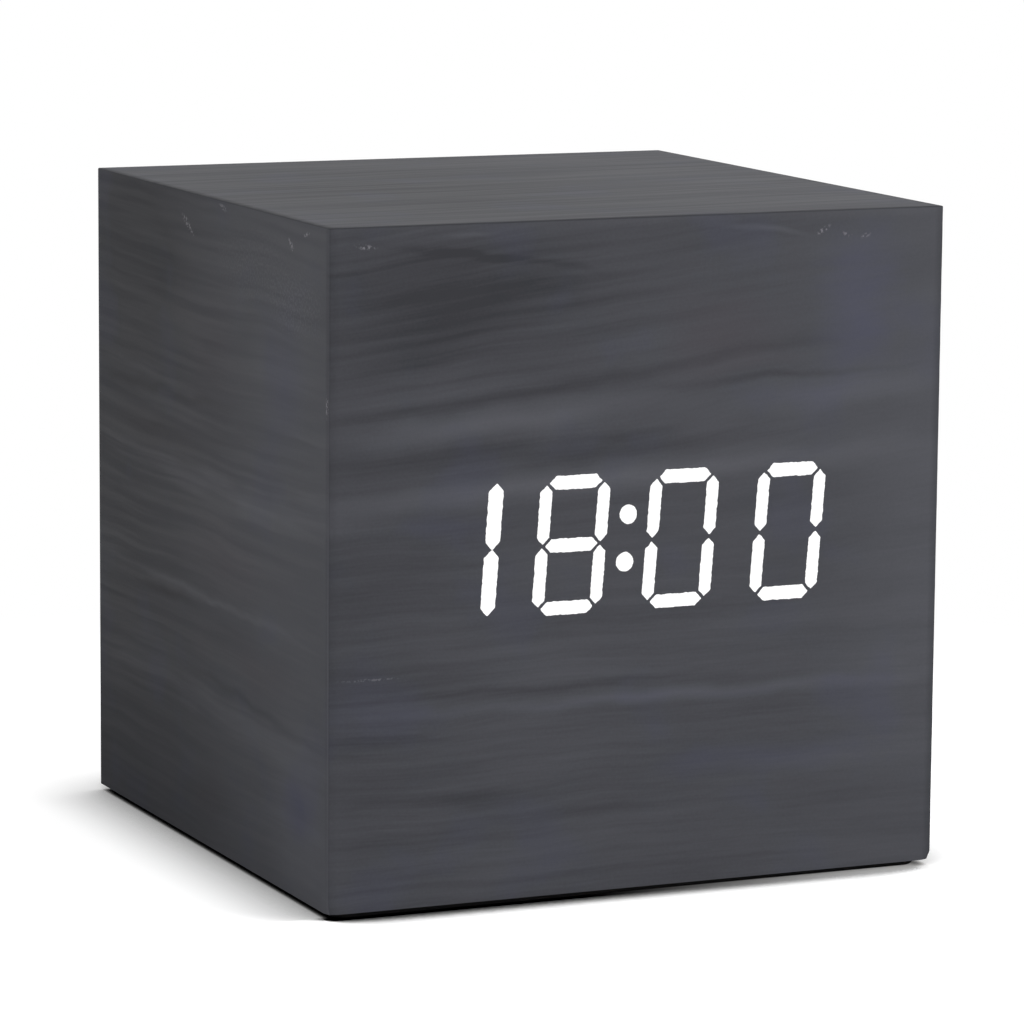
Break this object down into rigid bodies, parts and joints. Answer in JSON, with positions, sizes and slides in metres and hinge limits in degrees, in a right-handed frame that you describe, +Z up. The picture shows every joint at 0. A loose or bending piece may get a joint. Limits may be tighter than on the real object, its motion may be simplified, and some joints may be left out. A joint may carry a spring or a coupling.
{
  "type": "digital led desk clock",
  "caption": "Cube desk clock in charcoal wood-grained film with slanted white LED digits in its front, a black base with a battery bay and door, and push buttons in a rear bezel.",
  "frame": {"origin": "centre of the footprint on the surface that the clock stands on", "axes": "+X to the right seen from the front, -Y out of the front face with the digits, +Z up"},
  "size_m": [0.062, 0.062, 0.0633],
  "materials": {
    "film": "charcoal printed wood-grain film, satin",
    "fibreboard": "medium density fibreboard, sawn",
    "block_wood": "plain softwood, sawn",
    "lit_film": "lit from behind",
    "filter_sheet": "milky diffusing sheet",
    "clear_resin": "clear cast resin",
    "led_package": "white ceramic with yellow phosphor",
    "black_plastic": "fine spark-eroded moulding",
    "key_plastic": "smooth moulding",
    "circuit_board": "green solder mask",
    "component_black": "moulded epoxy",
    "component_metal": "drawn can",
    "screw_steel": "zinc plated",
    "contact_steel": "nickel plated spring steel",
    "jack_brass": "nickel plated brass",
    "cell_sleeve": "plain printed sleeve",
    "red_insulation": "soft wire insulation",
    "black_insulation": "soft wire insulation",
    "cable_insulation": "flat cable insulation"
  },
  "bodies": {
    "case": {"film_wrap": "film", "back_film": "film", "front_panel": "fibreboard", "left_panel": "fibreboard", "right_panel": "fibreboard", "top_panel": "fibreboard", "back_panel": "fibreboard", "corner_blocks": "block_wood", "lit_segments": "lit_film", "display_filter": "filter_sheet", "segment_fill": "clear_resin", "led_chips": "led_package", "display_housing": "black_plastic", "rear_bezel": "black_plastic", "base_cover": "black_plastic", "jack_housing": "black_plastic", "main_board": "circuit_board", "key_board": "circuit_board", "controller_chip": "component_black", "led_driver": "component_black", "buzzer": "component_black", "thermistor": "component_black", "set_switch": "component_black", "up_switch": "component_black", "down_switch": "component_black", "clock_crystal": "component_metal", "capacitor": "component_metal", "microphone": "component_metal", "board_screws": "screw_steel", "key_screws": "screw_steel", "base_screws": "screw_steel", "negative_contact": "contact_steel", "positive_contact": "contact_steel", "left_link_contact": "contact_steel", "right_link_contact": "contact_steel", "jack_pin": "jack_brass", "jack_leaf": "jack_brass", "cell_1": "cell_sleeve", "cell_2": "cell_sleeve", "cell_3": "cell_sleeve", "battery_lead_red": "red_insulation", "battery_lead_black": "black_insulation", "key_cable": "cable_insulation"},
    "battery_door": {"battery_door": "black_plastic"},
    "set_button": {"set_button": "key_plastic", "set_plunger": "component_black"},
    "up_button": {"up_button": "key_plastic", "up_plunger": "component_black"},
    "down_button": {"down_button": "key_plastic", "down_plunger": "component_black"}
  },
  "joints": [
    {"name": "battery_door_hinge", "type": "hinge", "parent": "case", "child": "battery_door", "pos_m": [0, 0.01665, 0], "axis": [1, 0, 0], "range_deg": [0, 80]},
    {"name": "set_press", "type": "slide", "parent": "case", "child": "set_button", "axis": [0, -1, 0], "range_m": [0, 0.0003], "stiffness_N_per_m": 800},
    {"name": "up_press", "type": "slide", "parent": "case", "child": "up_button", "axis": [0, -1, 0], "range_m": [0, 0.0003], "stiffness_N_per_m": 800},
    {"name": "down_press", "type": "slide", "parent": "case", "child": "down_button", "axis": [0, -1, 0], "range_m": [0, 0.0003], "stiffness_N_per_m": 800}
  ]
}
